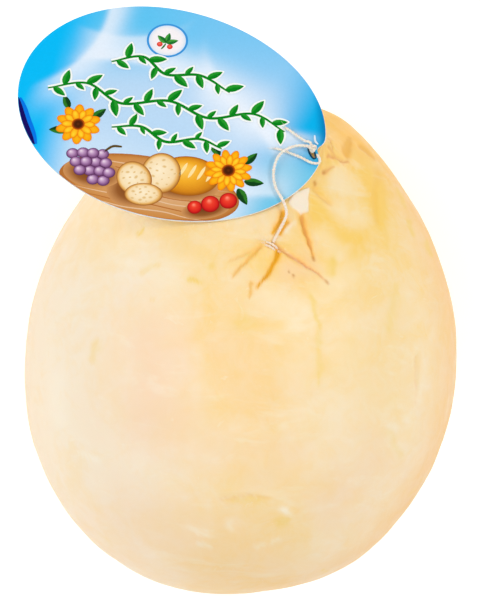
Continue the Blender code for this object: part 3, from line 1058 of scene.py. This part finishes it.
def disc_of(sectors, insets):
    """Reach and angle of each point of a flat disc with rings, and its faces."""
    disc = added(bpy.ops.mesh.primitive_circle_add, vertices=sectors, radius=1.0, fill_type="NGON")
    bpy.ops.object.mode_set(mode="EDIT")
    bpy.ops.mesh.select_all(action="SELECT")
    for _ in range(insets):
        bpy.ops.mesh.inset(thickness=0.9 / (insets + 1))
    bpy.ops.mesh.poke()
    bpy.ops.object.mode_set(mode="OBJECT")
    rows = places(disc)
    faces = [tuple(face.vertices) for face in disc.data.polygons]
    bpy.data.objects.remove(disc)
    return np.hypot(rows[:, 0], rows[:, 1]), np.arctan2(rows[:, 1], rows[:, 0]), faces


SMALL_DISC = disc_of(16, 2)
LARGE_DISC = disc_of(64, 6)
layers = {"rows": [], "faces": [], "inks": [], "count": 0}


def lay(s, q, ink, faces, level):
    """Prints one shape, held inside the card's outline, in that layer of ink."""
    taper = 1 - CARD_TAPER * s / CARD_HALF_LENGTH
    reach = np.hypot(s / CARD_HALF_LENGTH, q / CARD_HALF_WIDTH / taper)
    back = np.minimum(1.0, PRINT_REACH / np.maximum(reach, 1e-6))
    layers["rows"].append(on_card(s * back, q * back, CARD_THICKNESS / 2 + LAYER * (level + 1)))
    layers["inks"].append(np.broadcast_to(ink, (len(s), 3)))
    layers["faces"].extend(tuple(layers["count"] + v for v in face) for face in faces)
    layers["count"] += len(s)


def ramp(reach, stops):
    """A colour for each reach, from stops of reach and screen colour."""
    at = [stop for stop, _ in stops]
    shades = np.array([linear(*colour) for _, colour in stops])
    return np.stack([np.interp(reach, at, shades[:, channel]) for channel in range(3)], axis=1)


def flat_route(route, spacing):
    """Points and headings on the smooth curve through a route of pairs, in mm."""
    points = smooth_route(np.array([(*spot, 0.0) for spot in route]), spacing)[:, :2]
    return points, np.gradient(points, axis=0)


def stroke(route, width, colour, level, taper=1.0):
    """A printed line along a route in mm, narrowing to its ends."""
    points, ahead = flat_route(route, 0.5)
    ahead /= np.linalg.norm(ahead, axis=1)[:, None]
    shares = np.linspace(0.0, 1.0, len(points))
    half = width / 2 * (1 - taper * np.abs(2 * shares - 1) ** 3)
    sideways = np.stack([-ahead[:, 1], ahead[:, 0]], axis=1) * half[:, None]
    both = np.vstack([points - sideways, points + sideways])
    count = len(points)
    faces = [(i, i + 1, count + i + 1, count + i) for i in range(count - 1)]
    lay(both[:, 0], both[:, 1], linear(*colour), faces, level)


def oval(spot, half_long, half_wide, degrees, stops, level, lean=(0.0, 0.0), disc=SMALL_DISC):
    """A printed oval with rings of colour, its middle leaning to one side."""
    reach, angle, faces = disc
    x = half_long * (reach * np.cos(angle) + lean[0] * (1 - reach))
    y = half_wide * (reach * np.sin(angle) + lean[1] * (1 - reach))
    lay(*turned(x, y, degrees, spot), ramp(reach, stops), faces, level)


def leaf(base, leaf_length, width, degrees, dark, light, level, margin=0.0):
    """A printed leaf from its base outwards, one half darker than the other."""
    reach, angle, faces = SMALL_DISC
    x = (reach * np.cos(angle) + 1) / 2 * (leaf_length + 2 * margin) - margin
    across = np.sin(angle) * np.sqrt(np.abs(np.sin(angle))) * reach * (1 - 0.3 * np.cos(angle))
    y = across * (width / 2 + margin)
    shade = np.where(np.sin(angle) * reach > 0.1, 1.0, 0.0)
    ink = blend(np.tile(linear(*dark), (len(x), 1)), linear(*light), shade)
    lay(*turned(x, y, degrees, base), ink, faces, level)


# %% [markdown]
# Three leafy garlands run across the middle of the card in green with white edges. Under them is a still life
# on a round board: a cut loaf, grapes, berries and orange blossoms. A small round seal with a sprig is at the
# top, and two blue stripes follow the edge.

# %% Garlands
LEAF_GREEN = (0, 128, 22)
LEAF_LIGHT = (34, 150, 40)
HALO = (246, 250, 246)
HALO_MARGIN = 0.6
STEM_WIDTH = 0.85
LEAF_SHARE = 0.42
# Route of each stem in mm, its number of leaves and their length
GARLANDS = (
    (((-21.5, 9), (-14, 13.6), (-6, 10.6), (3, 13.6), (12.5, 11.4)), 12, 5),
    (
        ((-34.5, -5), (-25, 0.2), (-14, -2.4), (-2, 3), (10, 1.8), (21, 7.4), (31, 5.2)),
        23, 5,
    ),
    (((-13.5, -10.2), (-6, -7.2), (2, -9.2), (10, -5.2), (17, -5.8)), 10, 4.2),
)


def garland(route, leaves, leaf_length):
    """A stem with leaves on alternate sides, edged in white."""
    points, ahead = flat_route(route, 0.25)
    stroke(route, STEM_WIDTH + 2 * HALO_MARGIN, HALO, 6, 0.2)
    stroke(route, STEM_WIDTH, LEAF_GREEN, 8, 0.5)
    for i in range(leaves):
        at = round((i + 0.5) / leaves * (len(points) - 1))
        heading = math.degrees(math.atan2(ahead[at][1], ahead[at][0]))
        side = 1 if i % 2 else -1
        size = leaf_length * (0.85 + 0.2 * math.sin(2.4 * i))
        degrees = heading + side * (52 + 9 * math.sin(1.7 * i))
        leaf(points[at], size, LEAF_SHARE * size, degrees, HALO, HALO, 7, HALO_MARGIN)
        leaf(points[at], size, LEAF_SHARE * size, degrees, LEAF_GREEN, LEAF_LIGHT, 9)


for route, leaves, leaf_length in GARLANDS:
    garland(route, leaves, leaf_length)

# %% Seal with a sprig
SEAL = (-9.8, 21.0)
SPRIG_GREEN = (22, 116, 40)
SPRIG_LIGHT = (70, 160, 60)
SEAL_RIM = ((0, (96, 178, 232)), (1, (52, 148, 220)))
SEAL_FACE = ((0, (250, 246, 246)), (0.8, (246, 240, 242)), (1, (214, 230, 244)))
SEAL_BERRY = ((0, (255, 120, 96)), (1, (214, 32, 32)))


def on_seal(x, y):
    """A place on the card that far from the seal's middle."""
    return SEAL[0] + x, SEAL[1] + y


oval(SEAL, 5.7, 5.5, 0, SEAL_RIM, 1, disc=LARGE_DISC)
oval(SEAL, 5.1, 4.9, 0, SEAL_FACE, 2, disc=LARGE_DISC)
for degrees in (35, 95, 155):
    leaf(on_seal(0, -0.9), 3.4, 1.6, degrees, SPRIG_GREEN, SPRIG_LIGHT, 3)
stroke((on_seal(-0.6, -3.4), on_seal(-0.2, -2.2), on_seal(0, -0.9)), 0.5, SPRIG_GREEN, 3)
for spot in (on_seal(-1.5, -1.9), on_seal(1.4, -1.7)):
    oval(spot, 0.8, 0.8, 0, SEAL_BERRY, 4, lean=(-0.3, 0.3))

# %% Board
BOARD = (3.0, -24.0)
BOARD_TURN = 9
BOARD_WOOD = ((0, (226, 186, 150)), (0.5, (214, 160, 104)), (0.9, (202, 134, 64)), (1, (176, 104, 44)))
BOARD_SHADE = ((0, (112, 62, 26)), (0.6, (146, 86, 38)), (1, (206, 146, 88)))
# Middle, half-length and half-width in mm, turn and layer of each shadow under the food
BOARD_SHADOWS = (
    ((10.6, -19.8), 10.4, 4.8, 12, 0.8),
    ((-0.6, -25.4), 7.6, 5.6, 24, 1.1),
    ((-13.2, -25), 8, 4.4, 10, 1.4),
    ((19.8, -24.6), 6.6, 2.8, 30, 1.4),
)

oval(BOARD, 25.0, 9.6, BOARD_TURN, BOARD_WOOD, 0, lean=(0.3, 0.2), disc=LARGE_DISC)
for i in range(9):
    rise = -6.5 + 1.6 * i
    reach = 23.0 * math.sqrt(1 - (rise / 10.0) ** 2)
    grain = []
    for x in np.linspace(-reach, reach, 7):
        grain.append(turned(x, rise + 0.3 * math.sin(x / 3.0 + i), BOARD_TURN, BOARD))
    stroke(grain, 0.35, (184, 112, 52) if i % 2 else (228, 190, 150), 0.5)
for spot, half_long, half_wide, degrees, level in BOARD_SHADOWS:
    oval(spot, half_long, half_wide, degrees, BOARD_SHADE, level, disc=LARGE_DISC)


# %% Loaf and slices
GOLDEN_ANGLE = math.radians(137.5)
CRUMB_HOLES = 16
CRUMB_LIGHT = ((0, (252, 236, 204)), (0.72, (246, 220, 174)), (0.86, (238, 190, 108)))
CRUMB = CRUMB_LIGHT + ((0.9, (206, 130, 34)), (1, (156, 84, 18)))
CRUMB_HOLE = ((0, (222, 180, 116)), (1, (240, 212, 160)))
CRUST = ((0, (253, 206, 96)), (0.45, (244, 174, 40)), (0.85, (214, 134, 22)), (1, (160, 88, 18)))
LOAF = (11.5, -16.8)
LOAF_TURN = 14


def slice_of_loaf(spot, half_long, half_wide, degrees, level):
    """A cut slice, its crumb dotted with small holes on a spiral."""
    oval(spot, half_long, half_wide, degrees, CRUMB, level, lean=(-0.15, 0.2), disc=LARGE_DISC)
    for i in range(CRUMB_HOLES):
        angle = GOLDEN_ANGLE * i + rng.uniform(-0.2, 0.2)
        reach = 0.78 * math.sqrt((i + 0.5) / CRUMB_HOLES)
        hole = turned(half_long * reach * math.cos(angle), half_wide * reach * math.sin(angle), degrees, spot)
        size = rng.uniform(0.18, 0.42)
        oval(hole, size * 1.5, size, degrees + rng.uniform(-30, 30), CRUMB_HOLE, level + 0.8)


oval(LOAF, 8.6, 6.0, LOAF_TURN, CRUST, 2, lean=(-0.2, 0.4), disc=LARGE_DISC)
for i in range(4):
    middle = turned(-1.5 + 2.5 * i, 1.6 - 0.3 * i, LOAF_TURN, LOAF)
    cut_ends = [turned(x, y, LOAF_TURN, middle) for x, y in ((-0.9, -2.0), (0.9, 2.4))]
    stroke((cut_ends[0], middle, cut_ends[1]), 0.9, (253, 226, 160), 3)
slice_of_loaf((4.4, -18.6), 5.4, 6.2, 20, 3)
slice_of_loaf((-1.8, -22.6), 4.6, 5.4, 52, 4)
slice_of_loaf((2.4, -26.2), 5.2, 3.4, 18, 5)

# %% Grapes
GRAPES = (
    (-20.4, -21.4), (-17.8, -20.2), (-15.2, -19.4), (-12.6, -18.8),
    (-18.6, -23.4), (-16, -22.4), (-13.4, -21.6), (-10.8, -21),
    (-16.6, -25.4), (-14, -24.6), (-11.4, -23.8), (-8.9, -23.4),
    (-12.2, -26.8), (-9.4, -26.2),
)
GRAPE_SKIN = ((0, (238, 218, 232)), (0.35, (196, 156, 196)), (0.8, (128, 76, 132)), (1, (84, 34, 84)))
for i, spot in enumerate(GRAPES):
    oval(spot, 1.75, 1.6, 20, GRAPE_SKIN, 3 + i % 3, lean=(-0.35, 0.4))
stroke(((-12.6, -18.0), (-11.0, -15.6), (-8.6, -14.8)), 0.7, (92, 70, 24), 3, 0.3)

# %% Blossoms
# Size and start of each ring of petals, and its colours
PETAL_RINGS = (
    (1.0, 0.0, ((0.0, (252, 182, 16)), (0.6, (250, 170, 10)), (1.0, (244, 128, 6)))),
    (0.74, 0.5, ((0.0, (255, 214, 50)), (0.6, (252, 188, 22)), (1.0, (240, 110, 6)))),
)
BLOSSOM_EYE = ((0, (98, 44, 10)), (0.5, (52, 20, 4)), (0.8, (120, 48, 6)), (1, (214, 96, 8)))
# Base, length in mm and heading of each dark leaf about the blossoms
BLOSSOM_LEAVES = (
    ((-24, -15), 5.6, 200),
    ((-19.6, -9.8), 5, 60),
    ((26.4, -13), 5.4, 14),
    ((25.6, -15.6), 5.6, -42),
    ((17.4, -7.8), 4.6, 150),
    ((24.6, -8), 4.8, 66),
    ((-26.6, -9), 4.6, 130),
)


def blossom(spot, radius, petals, level):
    """Two rings of round petals about a brown eye."""
    for ring, (size, start, stops) in enumerate(PETAL_RINGS):
        long, wide = 0.42 * radius * size, 2.4 * radius * size / petals
        for i in range(petals):
            degrees = 360 * (i + start) / petals
            middle = turned(0.62 * radius * size, 0.0, degrees, spot)
            oval(middle, long, wide, degrees, stops, level + ring * 2 + i % 2, lean=(0.4, 0.0))
    oval(spot, 0.3 * radius, 0.3 * radius, 0, BLOSSOM_EYE, level + 4)


for spot, size, degrees in BLOSSOM_LEAVES:
    leaf(spot, size, 0.45 * size, degrees, (12, 66, 22), (44, 120, 34), 1.7)
blossom((-22.4, -12.6), 6.0, 10, 3)
blossom((21.2, -11.4), 6.3, 12, 3)

# %% Berries, the painted highlight on the crease, the painted shade round the slit, and stripes
BERRY_SKIN = ((0, (255, 150, 120)), (0.3, (240, 66, 44)), (0.8, (214, 30, 26)), (1, (150, 14, 18)))
for spot, radius in (((20.4, -22.6), 2.5), ((24.6, -20.0), 2.4), ((16.8, -25.0), 2.0)):
    oval(spot, radius, radius, 0, BERRY_SKIN, 4, lean=(-0.3, 0.35), disc=LARGE_DISC)
# Painted highlight along the fold of the curled lobe
stroke(((39.1, 7.0), (39.9, 5.4), (41.0, 4.7)), 0.55, (228, 238, 246), 10, 0.4)
# Painted shade: a dark ring round the slit stands for the shadow inside it
slit_shade_ring = []
for angle in np.linspace(0, 2 * math.pi, 33):
    x = (SLIT_HALF_LENGTH + 0.1) * math.cos(angle)
    y = (SLIT_HALF_WIDTH + 0.1) * math.sin(angle)
    slit_shade_ring.append(turned(x, y, SLIT_TURN, SLIT))
stroke(slit_shade_ring, 0.5, (10, 66, 92), 10, 0.0)
# Reach of each stripe as a share of the card's, its width in mm, colour and layer
for radius, width, colour, level in ((0.985, 3.4, (0, 116, 228), 1), (0.999, 2.2, (19, 8, 96), 1.4)):
    edge = []
    for angle in np.radians(np.linspace(199, 224, 24)):
        edge.append((CARD_HALF_LENGTH * radius * math.cos(angle), CARD_HALF_WIDTH * radius * math.sin(angle)))
    stroke(edge, width, colour, level, 0.9)


# %% Finish of the printed card
def ink_finish():
    """Offset print: colours from the points, with paper tooth and the faintest mottle."""
    finish = Finish("printed_ink", 0.3, Specular_IOR_Level=0.06)
    ink = finish.attribute("ink", "Color")
    mottle = finish.span(finish.noise(1400.0, detail=2.0), 0.3, 0.7, 0.985, 1.01)
    finish.colour(finish.mix(1.0, ink, mottle, "MULTIPLY"))
    finish.rough(finish.span(finish.noise(260.0), 0.35, 0.65, 0.3, 0.42))
    finish.bump(finish.noise(2200.0, detail=2.0), 0.008 * MM, 0.4)
    return finish.material


def stock_finish():
    """Bare card at the cut edge and on the back: white with faint grey fibres."""
    finish = Finish("card_stock", 0.8)
    fibres = finish.noise(900.0, detail=5.0, stretch=(1.0, 3.0, 1.0))
    finish.colour(finish.mix(finish.span(fibres, 0.35, 0.65), linear(232, 230, 224), linear(248, 247, 243)))
    finish.bump(fibres, 0.03 * MM, 0.5)
    return finish.material


PRINTED_FACING = 0.7
ink_material = ink_finish()
card.data.materials.append(ink_material)
card.data.materials.append(stock_finish())
up = card_turn @ np.array([0.0, math.sin(CARD_SLOPE), math.cos(CARD_SLOPE)])
for face in card.data.polygons:
    face.material_index = 0 if np.dot(face.normal, up) > PRINTED_FACING else 1

printed = meshed("print_layers", np.vstack(layers["rows"]).tolist(), layers["faces"])
dye(printed, np.vstack(layers["inks"]))
printed.data.materials.append(ink_material)
pick(card, printed)
bpy.ops.object.join()
bpy.ops.object.shade_smooth_by_angle(angle=math.radians(35))
print("card and print faces:", len(card.data.polygons))
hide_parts("card")
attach(card, "root")

# %% [markdown]
# ## The stitch
# Below the card the twine comes out of the casing in a small stitch: two short turns of yarn laid across each
# other, with frayed ends beside them.

# %% Stitch in the casing
STITCH_YARN = 0.7 * MM
STITCH_TURNS = (
    ((6.6, 32.3, 98.9), (5.8, 33.0, 99.6), (4.6, 33.6, 99.75), (3.4, 33.9, 99.3)),
    ((5.9, 31.9, 99.1), (5.0, 32.5, 99.75), (4.0, 32.9, 99.8), (3.1, 33.0, 99.3)),
)
STITCH_FRAYS = (
    ((4.2, 33.7, 99.5), (2.9, 34.3, 99.4)),
    ((3.8, 33.1, 99.6), (2.8, 33.5, 99.5)),
    ((6.0, 32.4, 99.3), (7.0, 31.8, 99.2)),
)
shapes = []
for turns_route in STITCH_TURNS:
    shapes.append(yarn(np.array(turns_route) * MM, STITCH_YARN, spacing=TIGHT_SPACING, taper_ends=0.3))
for fray in STITCH_FRAYS:
    shapes.extend(frayed_end(np.array(fray) * MM, STITCH_YARN, 9, 0.9 * MM))
stitch = made_of("stitch_yarn", shapes, twine_material)
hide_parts("casing_stitch")
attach(stitch, "root")

# %% [markdown]
# ## Pale floor, soft light
# A white floor and large soft lights give the photograph's bright, almost shadowless look. One smaller light
# from the right makes the twine's short shadow on the card.

# %% Floor
FLOOR_SIZE = 6.0
FLOOR_GLOW = 0.3
floor = added(bpy.ops.mesh.primitive_plane_add, size=FLOOR_SIZE)
floor.name = "floor"
floor_finish = Finish("floor_white", 0.8)
floor_finish.colour(floor_finish.mix(floor_finish.noise(3.0), (0.93, 0.93, 0.93), (0.95, 0.95, 0.95)))
floor_finish.shader.inputs["Emission Color"].default_value = (1.0, 1.0, 1.0, 1.0)
floor_finish.shader.inputs["Emission Strength"].default_value = FLOOR_GLOW
floor.data.materials.append(floor_finish.material)

# %% Lights
WORLD_STRENGTH = 0.55
# Name, place, aim and side in metres, and power in watts
LIGHTS = (
    ("soft_left", (-0.9, 0.1, 1.1), (0.0, 0.0, 0.05), 1.0, 5.4),
    ("key_right", (0.75, 0.45, 1.0), (0.0, 0.03, 0.06), 0.3, 3.9),
    ("soft_top", (0.1, -0.6, 1.4), (0.0, 0.0, 0.05), 1.0, 3.4),
)

world = bpy.data.worlds.new("studio")
world.use_nodes = True
background = world.node_tree.nodes["Background"]
background.inputs["Color"].default_value = (1.0, 1.0, 1.0, 1.0)
background.inputs["Strength"].default_value = WORLD_STRENGTH
bpy.context.scene.world = world
for name, spot, aim, side, watts in LIGHTS:
    light = added(bpy.ops.object.light_add, type="AREA", location=spot)
    light.name = name
    light.data.size = side
    light.data.energy = watts
    light.rotation_euler = (Vector(aim) - Vector(spot)).to_track_quat("-Z", "Y").to_euler()
bpy.context.scene.view_settings.view_transform = "Standard"
